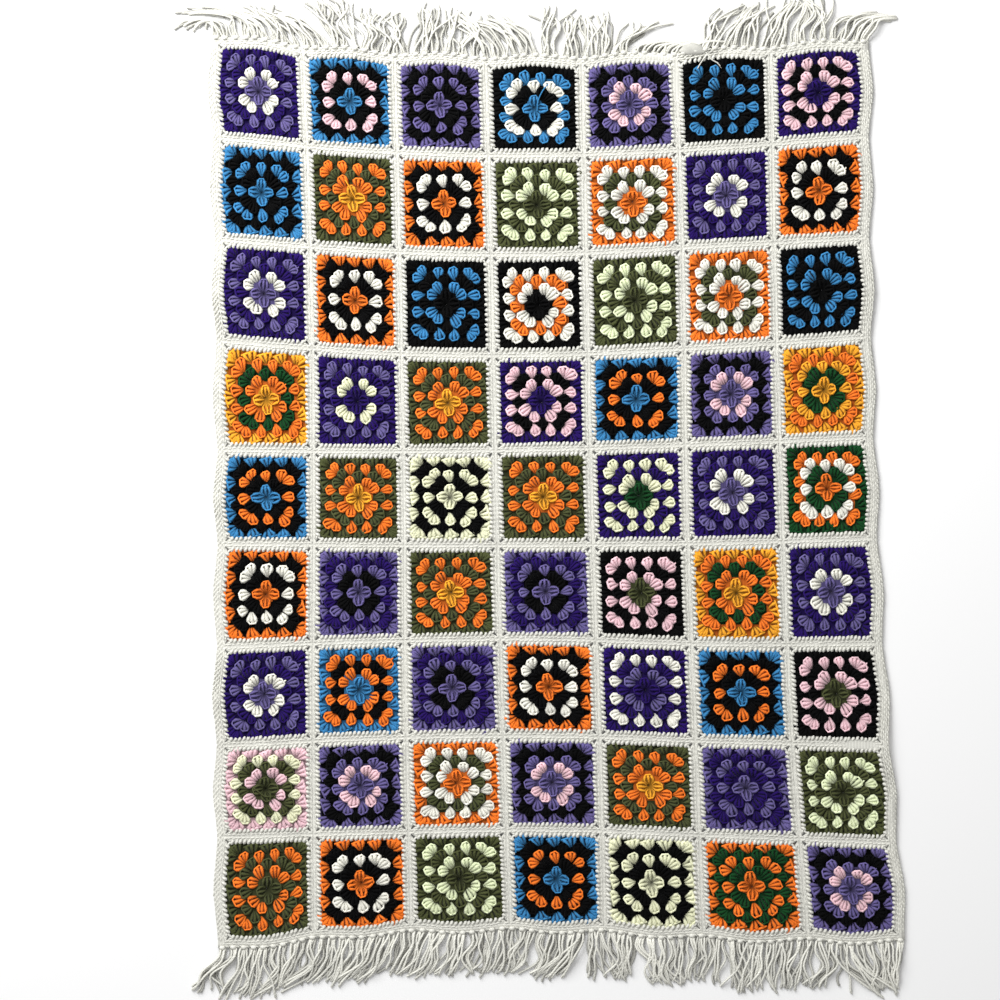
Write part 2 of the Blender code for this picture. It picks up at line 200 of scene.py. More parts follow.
def find_shift():
    """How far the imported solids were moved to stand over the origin."""
    left_edge = cloth_xy(0, np.arange(2 * ROWS + 1) / 2)[:, 0].min() - SIDE_BORDER
    head_edge = cloth_xy(np.arange(2 * COLUMNS + 1) / 2, 0)[:, 1].max()
    low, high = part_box("blanket")
    return np.array((low[0] - left_edge, high[1] - head_edge))


SHIFT = find_shift()


def hump(distance, half):
    """Soft hump: 1 in its middle and 0 from half its width on."""
    return np.cos(0.5 * np.pi * np.minimum(1.0, np.abs(distance) / half)) ** 2


def lift(xy):
    """Height of the cloth's underside over the floor, at centred points."""
    x, y = xy[..., 0] - SHIFT[0], xy[..., 1] - SHIFT[1]
    rise = np.zeros(x.shape)
    for middle_x, middle_y, half_x, half_y, height in RIPPLES:
        rise += height * hump(x - middle_x, half_x) * hump(y - middle_y, half_y)
    return rise


def square_to_world(column, row, points):
    """Points (across, up, height) of a square's field, set into the cloth."""
    xy = cloth_xy(column + 0.5 + points[..., 0] / 2, row + 0.5 - points[..., 1] / 2) + SHIFT
    return extended(xy, points[..., 2] + lift(xy))


def extended(points, values):
    """Points with one more value each, such as their heights."""
    return np.concatenate((points, values[..., None]), -1)


def turned(points, angle):
    """Points (x, y) turned about the origin."""
    c, s = np.cos(angle), np.sin(angle)
    x, y = points[..., 0], points[..., 1]
    return np.stack((x * c - y * s, x * s + y * c), -1)


# ---- yarn as meshes
def unit(vectors):
    return vectors / (np.linalg.norm(vectors, axis=-1, keepdims=True) + TINY)


def right_of(run):
    """Unit vectors to the right of runs (x, y)."""
    return unit(np.stack((run[:, 1], -run[:, 0]), -1))


def tube_points(paths, radii, sides, flat):
    """A ring of points round each station of the paths, from the ridge on."""
    tangent = unit(np.gradient(paths, axis=1))
    side = unit(np.cross(tangent, (0.0, 0.0, 1.0)))
    up = np.cross(side, tangent)
    angle = 2 * np.pi * (RIDGE + np.arange(sides) / sides)
    ring = (np.cos(angle)[:, None] * side[:, :, None, :]
            + flat * np.sin(angle)[:, None] * up[:, :, None, :])
    return paths[:, :, None, :] + radii[:, :, None, None] * ring


def tube_faces(many, stations, sides, first):
    """Faces of tubes whose points start at number first. They look outwards."""
    base = first + (np.arange(many)[:, None, None] * stations
                    + np.arange(stations - 1)[None, :, None]) * sides
    a = base + np.arange(sides)
    b = base + (np.arange(sides) + 1) % sides
    return np.stack((a, a + sides, b + sides, b), -1).reshape(-1, 4)


def tube_map(paths, sides, turn):
    """Map of the tubes' faces, along the yarn in turns, and once round it from its ridge."""
    many, stations = paths.shape[:2]
    step = np.linalg.norm(np.diff(paths, axis=1), axis=2)
    along = np.concatenate((np.zeros((many, 1)), np.cumsum(step, axis=1)), axis=1) / turn
    v0 = np.broadcast_to(RIDGE + np.arange(sides) / sides, (many, stations - 1, sides))
    v1 = v0 + 1 / sides
    u0 = np.broadcast_to(along[:, :-1, None], v0.shape)
    u1 = np.broadcast_to(along[:, 1:, None], v0.shape)
    corners = ((u0, v0), (u1, v0), (u1, v1), (u0, v1))
    return np.stack([np.stack(corner, -1) for corner in corners], -2).reshape(-1, 2)


class Yarn:
    """Gathers tubes of yarn and turns them into one mesh."""

    def __init__(self):
        self.parts, self.count = [], 0

    def tubes(self, paths, radii, sides, ink, tones, flat=1.0, turn=TURN):
        """Add tubes along paths of shape (tubes, stations, 3). radii and tones fit (tubes, stations).

        ink is the number of a tube's yarn, flat its height against its width.
        """
        paths = np.asarray(paths, float)
        many, stations = paths.shape[:2]
        radii = np.broadcast_to(radii, (many, stations))
        tones = np.broadcast_to(np.asarray(tones, float).reshape(many, -1), (many, stations))
        inks = np.broadcast_to(np.asarray(ink).reshape(-1, 1), (many, (stations - 1) * sides))
        self.parts.append((
            tube_points(paths, radii, sides, flat).reshape(-1, 3),
            tube_faces(many, stations, sides, self.count),
            tube_map(paths, sides, turn),
            np.repeat(tones.reshape(-1), sides),
            inks.reshape(-1),
        ))
        self.count += many * stations * sides

    def piece(self, name, slot="ecru_yarn", letters="E"):
        """Make the piece. letters are the yarns that the inks count through."""
        return add_piece(name, slot, letters, *map(np.concatenate, zip(*self.parts)))


def add_object(name, data):
    made = bpy.data.objects.new(name, data)
    bpy.context.scene.collection.objects.link(made)
    return made


def add_piece(name, slot, letters, points, faces, uvs, tones, inks):
    """Piece of four-sided faces, with a UV map along the yarn, a tone by point (random tone, painted shade
    and painted highlight) and an ink by face.
    """
    mesh = bpy.data.meshes.new(name)
    mesh.vertices.add(len(points))
    mesh.vertices.foreach_set("co", points.astype(np.float32).ravel())
    mesh.loops.add(faces.size)
    mesh.loops.foreach_set("vertex_index", faces.astype(np.int32).ravel())
    mesh.polygons.add(len(faces))
    mesh.polygons.foreach_set("loop_start", np.arange(0, faces.size, 4, dtype=np.int32))
    mesh.update(calc_edges=True)
    mesh.polygons.foreach_set("use_smooth", np.ones(len(faces), bool))
    mesh.uv_layers.new(name="yarn").data.foreach_set("uv", uvs.astype(np.float32).ravel())
    mesh.attributes.new("tone", "FLOAT", "POINT").data.foreach_set("value", tones.astype(np.float32))
    for letter in letters:
        mesh.materials.append(yarn_material(letter))
    mesh.polygons.foreach_set("material_index", inks.astype(np.int32))
    piece = add_object(name, mesh)
    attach(piece, "root")
    return piece


# ---- materials
PLY_MAP = (2.2, 3.95, 1.0)  # how closely the plies' bands lie along a yarn and round it
PLY_WAVE = {"Scale": 0.3183, "Distortion": 0.6, "Detail": 1.0}
FUZZ = {"Scale": 900.0, "Detail": 3.0}  # the fibres
PATCHES = {"Scale": 45.0, "Detail": 2.0}  # the uneven dye and wear
# Ranges of a pattern's values and of what they become: (from, to, from, to)
CREASE_PAINTED_SHADE = (0.0, 0.6, 0.88, 1.0)  # painted shade in the furrow between the plies
FUZZ_SHADE, PATCH_SHADE = (0.3, 0.7, 0.9, 1.1), (0.3, 0.7, 0.95, 1.06)
FUZZ_ROUGHNESS = (0.3, 0.7, 0.82, 0.98)
PAINTED_FLANK_SHADE = (0.09, 0.25)  # shares of the way round from the ridge, between which the painted shade on a yarn's sides deepens
PLY_RELIEF, FUZZ_RELIEF = 0.6, 0.35
BUMP = {"Strength": 0.5, "Distance": 0.0006}
SHEEN_ROUGHNESS = 0.35
SURFACES = {
    # kind: (painted shade on its sides, in the creases between the stitches, specular level, sheen)
    "ecru": (0.75, 0.18, 0.25),
    "light": (0.9, 0.18, 0.25),
    "coloured": (0.44, 0.14, 0.06),
    "black": (0.44, 0.08, 0.02),
}
LIGHT_LEVEL = 150  # a yarn whose every level is above this is a light one
LIGHT_FULLNESS = 1.1  # light yarn is fluffier, so its posts close up


def to_linear(level):
    """Linear light of a colour level as seen, 0 to 255."""
    level = level / 255
    return level / 12.92 if level <= 0.04045 else ((level + 0.055) / 1.055) ** 2.4


def node(tree, kind, inputs=(), **settings):
    """Add a node, set its properties, and set or link its inputs by name or number."""
    made = tree.nodes.new(kind)
    for key, value in settings.items():
        setattr(made, key, value)
    for key, value in dict(inputs).items():
        if isinstance(value, bpy.types.NodeSocket):
            tree.links.new(value, made.inputs[key])
        else:
            made.inputs[key].default_value = value
    return made


def ranged(tree, value, limits):
    return node(tree, "ShaderNodeMapRange", dict(enumerate((value,) + limits))).outputs[0]


def reckoned(tree, operation, *values):
    return node(tree, "ShaderNodeMath", dict(enumerate(values)), operation=operation).outputs[0]


def noise(tree, place, settings):
    return node(tree, "ShaderNodeTexNoise", {"Vector": place, **settings}).outputs["Fac"]


def ply_bands(tree, along):
    """The plies, as bands that wind round the yarn."""
    plies = node(tree, "ShaderNodeMapping", {"Vector": along, "Scale": PLY_MAP}).outputs["Vector"]
    wave = node(tree, "ShaderNodeTexWave", {"Vector": plies, **PLY_WAVE},
                wave_type="BANDS", bands_direction="DIAGONAL")
    return wave.outputs["Fac"]


def yarn_shade(tree, place, along, ply, fuzz, flank_painted_shade):
    """How light each bit of the yarn is against its colour: painted shade in the ply furrows and on the
    sides, random tone of the fibres and patches, and the tone of its points.
    """
    around = node(tree, "ShaderNodeSeparateXYZ", {0: along}).outputs["Y"]
    from_ridge = reckoned(tree, "PINGPONG", reckoned(tree, "SUBTRACT", around, RIDGE), 0.5)
    shades = (
        ranged(tree, ply, CREASE_PAINTED_SHADE),
        # Painted shade on the sides of a yarn, where they sink into the creases between the stitches
        ranged(tree, from_ridge, PAINTED_FLANK_SHADE + (1.0, flank_painted_shade)),
        ranged(tree, fuzz, FUZZ_SHADE),
        ranged(tree, noise(tree, place, PATCHES), PATCH_SHADE),
        # the tone of the points: random tone, with painted shade and painted highlight
        node(tree, "ShaderNodeAttribute", attribute_name="tone").outputs["Fac"],
    )
    return functools.reduce(lambda a, b: reckoned(tree, "MULTIPLY", a, b), shades)


def surface_kind(letter):
    name, *levels = YARNS[letter]
    if name in SURFACES:
        return name
    return "light" if min(levels) > LIGHT_LEVEL else "coloured"


def yarn_material(letter):
    """Plied, slightly fuzzy worsted yarn in one colour."""
    name, *levels = YARNS[letter]
    if "yarn_" + name in bpy.data.materials:
        return bpy.data.materials["yarn_" + name]
    material = bpy.data.materials.new("yarn_" + name)
    material.use_nodes = True
    tree = material.node_tree
    flank_painted_shade, specular, sheen = SURFACES[surface_kind(letter)]
    place = node(tree, "ShaderNodeTexCoord").outputs["Object"]
    along = node(tree, "ShaderNodeUVMap", uv_map="yarn").outputs["UV"]
    ply = ply_bands(tree, along)
    fuzz = noise(tree, place, FUZZ)
    shade = yarn_shade(tree, place, along, ply, fuzz, flank_painted_shade)
    colour = [to_linear(level) for level in levels]
    tinted = node(tree, "ShaderNodeVectorMath", {0: colour, "Scale": shade}, operation="SCALE")
    relief = reckoned(tree, "MULTIPLY_ADD", fuzz, FUZZ_RELIEF, reckoned(tree, "MULTIPLY", ply, PLY_RELIEF))
    bump = node(tree, "ShaderNodeBump", {"Height": relief, **BUMP})
    shader = tree.nodes["Principled BSDF"]
    tree.links.new(tinted.outputs[0], shader.inputs["Base Color"])
    tree.links.new(ranged(tree, fuzz, FUZZ_ROUGHNESS), shader.inputs["Roughness"])
    tree.links.new(bump.outputs["Normal"], shader.inputs["Normal"])
    shader.inputs["Specular IOR Level"].default_value = specular
    shader.inputs["Sheen Weight"].default_value = sheen
    shader.inputs["Sheen Roughness"].default_value = SHEEN_ROUGHNESS
    return material


# ---- the crochet squares
def cluster_places():
    """Foot and top of every cluster in a square's field: (round, foot_x, foot_y, top_x, top_y)."""
    places = []
    for nth in range(ROUNDS):
        radial = FIRST_ROUND + ROUND_STEP * nth
        for k in range(nth + 1):
            across = (k - nth / 2) * CLUSTER_PITCH
            corner = (k == nth) - (k == 0)  # -1 at a side's left corner, 1 at its right, or 0
            shared = CORNER_SHARE if corner and nth < ROUNDS - 1 else 1.0
            foot = (across - CORNER_DRAW * corner + FOOT_LEAN, radial - INWARD[nth] * shared)
            top = (across + FAN[nth] * corner - LEAN, radial + OUTWARD[nth])
            if nth == 0:
                foot, top = (0.0, foot[1]), (-FIRST_LEAN, top[1])
            for side in range(4):
                ends = turned(np.array((foot, top)), math.radians(90 * side))
                places.append((nth, *ends.ravel()))
    return np.array(places)


CLUSTERS = cluster_places()

# A cluster is three double crochets worked into one space: three posts that spread from one foot, and
# the chain that runs over their tops. across is in half widths of the cluster, along in its lengths,
# height in metres, radius in yarn radii and tone a share of the yarn's colour: painted shade where it
# is under 1, most at a post's foot, and painted highlight where it is over 1, most on the chain over the
# tops.
POST = np.array((
    # along, height, radius, tone
    (0.0, 0.0018, 0.85, 0.5),
    (0.3, 0.0036, 1.3, 0.84),
    (0.62, 0.0043, 1.82, 0.98),
    (0.86, 0.0042, 1.75, 1.02),
    (1.0, 0.0034, 0.95, 0.98),
))
OVER_TOPS = np.array((
    # across, along, height, radius, tone
    (-1.24, 0.72, 0.0046, 0.8, 1.12),
    (-0.78, 0.94, 0.0052, 0.9, 1.22),
    (0.68, 0.99, 0.0052, 0.9, 1.22),
    (1.26, 0.74, 0.0046, 0.8, 1.12),
))
LAST_OVER_TOPS = np.array((
    (-1.5, 0.92, 0.0036, 1.0, 0.9),
    (-0.6, 0.92, 0.0044, 1.15, 1.14),
    (0.6, 0.93, 0.0044, 1.15, 1.14),
    (1.5, 0.92, 0.0036, 1.0, 0.9),
))
OUTER_SHARE, LAST_OUTER_SHARE = 0.88, 0.98  # length of an outer post against the middle one
CLUSTER_KINDS = (
    # from and up to which rounds, how far an outer post spreads at POST's places, its length, and the
    # chain. In the second round the corner pairs lie close, like beans; in the last the clusters fan out
    (0, 1, (0.5, 1.38, 1.3, 1.04, 0.72), OUTER_SHARE, OVER_TOPS),
    (1, 2, (0.46, 0.84, 1.0, 1.04, 0.94), OUTER_SHARE, OVER_TOPS),
    (2, 4, (0.16, 0.55, 0.92, 1.04, 0.94), OUTER_SHARE, OVER_TOPS),
    (4, 5, (0.32, 0.58, 0.84, 0.98, 1.04), LAST_OUTER_SHARE, LAST_OVER_TOPS),
)
HALF_WIDTHS = (0.066, 0.076, 0.081, 0.077, 0.114)  # from the middle post to an outer one, by round
FATNESS = (0.95, 1.12, 1.12, 1.12, 1.24)  # of the posts, by round
POST_FLATNESS = 0.68
MIDDLE_RISE = 0.0003
CROWN_HEIGHT = 0.003  # stitches that lie higher than this follow the square's crown

# A tooth of the joining round bites into the last coloured round; the chain lies along the seam
TOOTH = np.array((
    # across, out, height, radius
    (-0.016, 0.852, 0.0042, 1.35),
    (-0.008, 0.869, 0.0053, 1.95),
    (0.013, 0.91, 0.0052, 1.85),
    (0.028, 0.946, 0.004, 1.0),
))
BESIDE_HOLE = (
    (0.79, 0.926, 0.0036, 0.8),
    (0.825, 0.924, 0.0045, 1.36),
    (0.86, 0.926, 0.0045, 1.36),
    (0.892, 0.936, 0.0036, 0.72),
)
CORNER_STITCHES = np.array((
    # round the corner, over the seams' crossing, and to both sides of the hole
    ((0.775, 0.886, 0.0036, 0.8), (0.838, 0.88, 0.0046, 1.44), (0.88, 0.838, 0.0046, 1.44),
     (0.886, 0.775, 0.0036, 0.8)),
    ((0.87, 0.966, 0.0036, 0.8), (0.938, 0.97, 0.0046, 1.36), (0.97, 0.938, 0.0046, 1.36),
     (0.966, 0.87, 0.0036, 0.8)),
    BESIDE_HOLE,
    [(out, across, *rest) for across, out, *rest in BESIDE_HOLE],
))
CHAIN = np.array((
    (-0.066, 0.934, 0.0038, 0.64),
    (-0.024, 0.962, 0.0046, 1.12),
    (0.028, 0.966, 0.0046, 1.12),
    (0.068, 0.988, 0.0036, 0.64),
))
TOOTH_FLATNESS, CHAIN_FLATNESS = 0.72, 0.85


def crown(across, up):
    """Rise of a square's face between its centre and its rim."""
    reach = np.maximum(np.abs(across), np.abs(up))
    return (CROWN_THICKNESS - RIM_THICKNESS) * hump(reach - CROWN_REACH, CROWN_REACH)


def cluster_forms(spread, outer_share, over_tops):
    """The yarns of one cluster, each an array of (across, along, height, radius, tone)."""
    along, height, radius, tone = POST.T
    outer = [np.stack((way * np.array(spread), along * outer_share, height, radius, tone), -1)
             for way in (-1, 1)]
    middle = np.stack((0 * along, along, height + MIDDLE_RISE, radius, tone), -1)
    return outer + [middle, over_tops]


# The chain that starts a round stands out beside the round's last corner, at the right
# Its tone over 1 is painted highlight on the chain.
ROUND_START = np.array((
    # out of the middle of the round's last cluster, across it, height, radius, tone
    (0.05, 0.035, 0.005, 0.9, 1.0),
    (0.092, 0.064, 0.0056, 1.0, 1.15),
    (0.122, 0.094, 0.0046, 0.5, 1.15),
))


def round_starts(rng):
    """The chains that start the rounds, as cluster_yarns gives its yarns."""
    rounds = np.arange(1, ROUNDS - 1)
    many = len(rounds)
    out, across, height, radius, tone = ROUND_START.T
    x = (FIRST_ROUND + ROUND_STEP * rounds)[:, None] + out + rng.normal(0, START_OUT_STRAY, (many, 1))
    y = (CLUSTER_PITCH * rounds / 2)[:, None] + across + rng.normal(0, START_ACROSS_STRAY, (many, 1))
    rest = [np.broadcast_to(value, x.shape) for value in (height, radius, tone)]
    return rounds, np.stack([x, y] + rest, -1)


def laid_form(rng, form, foot, run, half, bend):
    """One yarn of each cluster: its points (across, up) and their heights."""
    across, along, height = form.T[:3]
    across = across + rng.normal(0, POST_STRAY, (len(foot), len(form)))
    along = along + rng.normal(0, LENGTH_STRAY, (len(foot), 1))
    off = half[:, None] * across + bend * along ** 2
    xy = foot[:, None] + run[:, None] * along[..., None] + right_of(run)[:, None] * off[..., None]
    z = height + rng.normal(0, HEIGHT_STRAY, off.shape)
    return xy, z + crown(xy[..., 0], xy[..., 1]) * (height > CROWN_HEIGHT)


def skewed(xy, turn, drift):
    """Points of a square whose middle is turned and shifted, and whose rim stays."""
    share = np.clip(MIDDLE_REACH - np.max(np.abs(xy), axis=-1, keepdims=True), 0, 1)
    return xy + (turned(xy, turn) - xy + drift) * share


def cluster_yarns(rng):
    """The yarns of a square's clusters: rounds, and points (across, up, height, radius, tone)."""
    turn = math.radians(rng.normal(0, MIDDLE_TURN))
    drift = rng.normal(0, MIDDLE_DRIFT, 2)
    yarns = []
    for first, end, *kind in CLUSTER_KINDS:
        places = CLUSTERS[(CLUSTERS[:, 0] >= first) & (CLUSTERS[:, 0] < end)]
        rounds = places[:, 0].astype(int)
        many = len(places)
        loose = LAST_LOOSE if first == ROUNDS - 1 else 1.0
        foot = places[:, 1:3] + rng.normal(0, FOOT_STRAY * loose, (many, 2))
        top = places[:, 3:5] + rng.normal(0, TOP_STRAY * loose, (many, 2))
        half = np.array(HALF_WIDTHS)[rounds] * (1 + rng.normal(0, WIDTH_STRAY, many))
        bend = rng.normal(0, BEND_STRAY, (many, 1))
        shade = rng.normal(1.0, SHADE_STRAY, (many, 1))
        fat = np.array(FATNESS)[rounds][:, None]
        for form in cluster_forms(*kind):
            xy, z = laid_form(rng, form, foot, top - foot, half, bend)
            xy = skewed(xy, turn, drift)
            radius = form[:, 3] * fat * (1 + rng.normal(0, FATNESS_STRAY, (many, 1)))
            tone = form[:, 4] * shade * (1 + rng.normal(0, SHADE_STRAY, (many, 1)))
            yarns.append((rounds, np.concatenate((xy, np.stack((z, radius, tone), -1)), -1)))
    yarns.append(round_starts(rng))
    return yarns


def spaced(many, reach):
    """Places of so many stitches across a side."""
    return ((np.arange(many) + 0.5) / many * 2 - 1) * reach


def side_stitches(rng, form, at, side):
    """Stitches of one form along one side of a square's field, at places across it."""
    across, out, height, radius = form.T
    many = len(at)
    u = at[:, None] + across + rng.normal(0, SIDE_STRAY, (many, 1))
    v = out + rng.normal(0, SIDE_STRAY, (many, 1))
    z = height + rng.normal(0, SIDE_HEIGHT_STRAY, (many, len(height)))
    r = radius * (1 + rng.normal(0, SIDE_FATNESS_STRAY, (many, 1)))
    xy = turned(np.stack((u, v), -1), math.radians(90 * side))
    return extended(extended(xy, z), r)


def joining_round(rng):
    """Teeth, corner stitches and the chain of a square's ecru round."""
    teeth, chains = [], []
    for side in range(4):
        many = TEETH + rng.integers(-1, 2)
        teeth.append(side_stitches(rng, TOOTH, spaced(many, TOOTH_REACH), side))
        chains.append(side_stitches(rng, CHAIN, spaced(CHAINS, CHAIN_REACH), side))
        for form in CORNER_STITCHES:
            xy = turned(form[:, :2] + rng.normal(0, CORNER_STRAY, 2), math.radians(90 * side))
            teeth.append(np.concatenate((xy, form[:, 2:]), -1)[None])
    return np.concatenate(teeth), np.concatenate(chains)


def build_square(column, row, recipe):
    """One crochet square with its joining round."""
    rng = np.random.default_rng(SQUARE_SEED + row * COLUMNS + column)
    letters = sorted(set(recipe)) + ["E"]
    yarn = Yarn()
    for rounds, form in cluster_yarns(rng):
        ink = [letters.index(recipe[nth]) for nth in rounds]
        full = [LIGHT_FULLNESS if surface_kind(recipe[nth]) == "light" else 1.0 for nth in rounds]
        radius = YARN_RADIUS * form[..., 3] * np.array(full)[:, None]
        yarn.tubes(square_to_world(column, row, form[..., :3]), radius, STITCH_SIDES, ink, form[..., 4],
                   flat=POST_FLATNESS)
    for form, flat in zip(joining_round(rng), (TOOTH_FLATNESS, CHAIN_FLATNESS)):
        tone = rng.normal(1.0, TONE_STRAY, (len(form), 1))
        yarn.tubes(square_to_world(column, row, form[..., :3]), YARN_RADIUS * form[..., 3], STITCH_SIDES,
                   letters.index("E"), tone, flat)
    return yarn.piece(f"square_{row + 1}_{column + 1}", "patchwork_yarn", letters)


# ---- the ground under the stitches
RING_HOLE = 0.011
ROUND_REACH = 0.2  # rings inside this reach are circles
RIM_REACH, HOLE_REACH = 0.888, 0.934  # the ecru round begins, and the holes in its corners end
GROUND_LEVELS = (
    # outer reach of each band in a square's field, and the rounds that meet over it
    (0.19, (0,)), (0.318, (0, 1)), (0.464, (1, 2)), (0.61, (2, 3)), (0.83, (3, 4)),
    (RIM_REACH, (4,)), (HOLE_REACH, ()), (1.0, ()),
)
GROUND_STOPS = (-1, -0.965, 0, 0.965)  # a ring's points on each side, in reaches, from a corner
GROUND_TOP, GROUND_BOTTOM = 0.0026, 0.0006
RIM_RISE = 0.0022  # the ground lies this much higher under the ecru stitches
TONE_PLACES = (RING_HOLE, 0.19, 0.32, RIM_REACH, HOLE_REACH, 1.0)
GROUND_PAINTED_SHADES = (0.14, 0.74, 0.45, 0.4, 0.9, 0.95)  # painted shade of the ground at those reaches, darkest in the ring hole and in the gaps between the coloured stitches
HOLE_PAINTED_SHADOW = 0.06
CLOSE = 1e-3  # reaches this near are the same
WELD_DIGITS = 6  # ground points the same to so many digits are one
GROUND_TURNS, GROUND_DRIFT = 200.0, 0.02  # of its map, for each metre across and along


def ring_points(reach):
    """One ring of a square's ground: a square path, or a circle near its middle."""
    side = np.stack((np.array(GROUND_STOPS) * reach, np.full(len(GROUND_STOPS), reach)), -1)
    ring = np.concatenate([turned(side * (-1, 1), math.radians(90 * k)) for k in range(4)])
    if reach < ROUND_REACH:
        ring = ring / np.linalg.norm(ring, axis=1, keepdims=True) * reach
    return ring


def square_template(rings):
    """Ground of one square: its points (across, up, rise) and their tones, which are painted shade."""
    points = np.concatenate(rings)
    reach = np.abs(points).max(axis=1)
    ecru = reach > RIM_REACH - CLOSE
    tone = np.interp(reach, TONE_PLACES, GROUND_PAINTED_SHADES)
    at_corner = np.abs(points).min(axis=1) > reach - CLOSE
    # painted shadow round the holes in the corners
    tone[at_corner & ecru & (reach < HOLE_REACH + CLOSE)] = HOLE_PAINTED_SHADOW
    return extended(points, np.where(ecru, RIM_RISE, 0.0)), tone


def darkest_yarn(letters):
    """The darkest of some yarns, or ecru if there are none."""
    return min(letters, key=lambda letter: sum(YARNS[letter][1:]), default="E")


def at_crossing(column, row, corner):
    """Whether a square's corner lies where two inner seams cross."""
    across = column + (1 + np.sign(corner[0])) / 2
    down = row + (1 - np.sign(corner[1])) / 2
    return 0 < across < COLUMNS and 0 < down < ROWS


def square_ground(column, row, recipe, rim, first):
    """Faces of one square's ground, left open in its corners where seams cross, and their yarns."""
    around = len(rim)
    faces, yarns = [], []
    for band, (outer, meeting) in enumerate(GROUND_LEVELS):
        start = first + band * around
        for k in range(around):
            after = (k + 1) % around
            corners = [i for i in (k, after) if i % len(GROUND_STOPS) == 0]
            if outer == HOLE_REACH and any(at_crossing(column, row, rim[i]) for i in corners):
                continue
            faces.append((start + k, start + k + around, start + after + around, start + after))
            yarns.append(darkest_yarn([recipe[nth] for nth in meeting]))
    return faces, yarns


def build_ground():
    """The thin cloth that backs every stitch, with the holes of the crochet. Its tones darken it as painted
    shade in the gaps between the stitches.
    """
    rings = [ring_points(reach) for reach in [RING_HOLE] + [outer for outer, _ in GROUND_LEVELS]]
    template, tone = square_template(rings)
    points, faces, yarns = [], [], []
    for row, words in enumerate(RECIPES):
        for column, recipe in enumerate(words.split()):
            own_faces, own_yarns = square_ground(column, row, recipe, rings[-1], len(points) * len(tone))
            points.append(extended(square_to_world(column, row, template), tone))
            faces += own_faces
            yarns += own_yarns
    strip_points, strip_faces = border_ground(len(points) * len(tone))
    points = np.concatenate(points + [strip_points])
    faces = np.concatenate((faces, strip_faces))
    yarns += ["E"] * len(strip_faces)
    letters = sorted(YARNS)
    inks = np.array([letters.index(letter) for letter in yarns])
    return closed_sheet("cloth_ground", letters, points, faces, inks)


def edge_places(squares):
    """Places along a row of squares where the ground has points, counted in squares."""
    stops = (np.array(GROUND_STOPS) + 1) / 2
    return np.concatenate([k + stops for k in range(squares)] + [[squares]])


def border_ground(first):
    """Ground of the borders: a strip along each side, and a box in each corner."""
    down, across = edge_places(ROWS), edge_places(COLUMNS)
    strips = (
        (cloth_xy(0, down), (-SIDE_BORDER, 0)),
        (cloth_xy(COLUMNS, down), (SIDE_BORDER, 0)),
        (cloth_xy(across, 0), (0, END_BORDER)),
        (cloth_xy(across, ROWS), (0, -END_BORDER)),
    )
    points, faces = [], []
    for line, out in strips:
        k = first + sum(map(len, points)) + 2 * np.arange(len(line) - 1)
        points.append(np.stack((line, line + out), 1).reshape(-1, 2))
        faces.append(np.stack((k, k + 1, k + 3, k + 2), -1))
    box = np.array(((0, 0), (1, 0), (1, 1), (0, 1)))
    for row, up in ((0, 1), (ROWS, -1)):
        for column, right in ((0, -1), (COLUMNS, 1)):
            k = first + sum(map(len, points))
            points.append(cloth_xy(column, row) + box * (right * SIDE_BORDER, up * END_BORDER))
            faces.append(np.array([[k, k + 1, k + 2, k + 3]]))
    flat = np.concatenate(points) + SHIFT
    tone = np.full(len(flat), GROUND_PAINTED_SHADES[-1])
    return extended(extended(flat, lift(flat) + RIM_RISE), tone), np.concatenate(faces)


def welded(points, faces):
    """The points without those that lie on another, and the faces through what is left."""
    _, pick, where = np.unique(np.round(points[:, :3], WELD_DIGITS), axis=0,
                               return_index=True, return_inverse=True)
    return points[pick], where.reshape(-1)[faces]


def facing_up(points, faces):
    """The faces, with those that look down turned round."""
    a, b, c = (points[faces[:, k], :2] for k in (0, 1, 2))
    down = np.linalg.det(np.stack((b - a, c - a), -1)) < 0
    return np.where(down[:, None], faces[:, ::-1], faces)


def open_edges(faces):
    """Edges that only one face has, and the numbers of those faces."""
    edges = np.stack((faces, np.roll(faces, -1, axis=1)), -1).reshape(-1, 2)
    _, first, counts = np.unique(np.sort(edges, axis=1), axis=0, return_index=True, return_counts=True)
    rim = first[counts == 1]
    return edges[rim], rim // faces.shape[1]


def closed_sheet(name, letters, points, faces, inks):
    """Close a single layer into a thin sheet: an upper side, an underside and walls."""
    points, faces = welded(points, faces)
    faces = facing_up(points, faces)
    many = len(points)
    edges, owners = open_edges(faces)
    a, b = edges.T
    walls = np.stack((b, a, a + many, b + many), -1)
    upper = points[:, :3] + (0, 0, GROUND_TOP)
    lower = extended(points[:, :2], lift(points[:, :2]) + GROUND_BOTTOM)
    both = np.concatenate((upper, lower))
    faces = np.concatenate((faces, faces[:, ::-1] + many, walls))
    x, y, _ = both[faces.ravel()].T
    uvs = np.stack((GROUND_TURNS * x, RIDGE + GROUND_DRIFT * y), -1)
    inks = np.concatenate((inks, inks, inks[owners]))
    return add_piece(name, "patchwork_yarn", letters, both, faces, uvs, np.tile(points[:, 3], 2), inks)


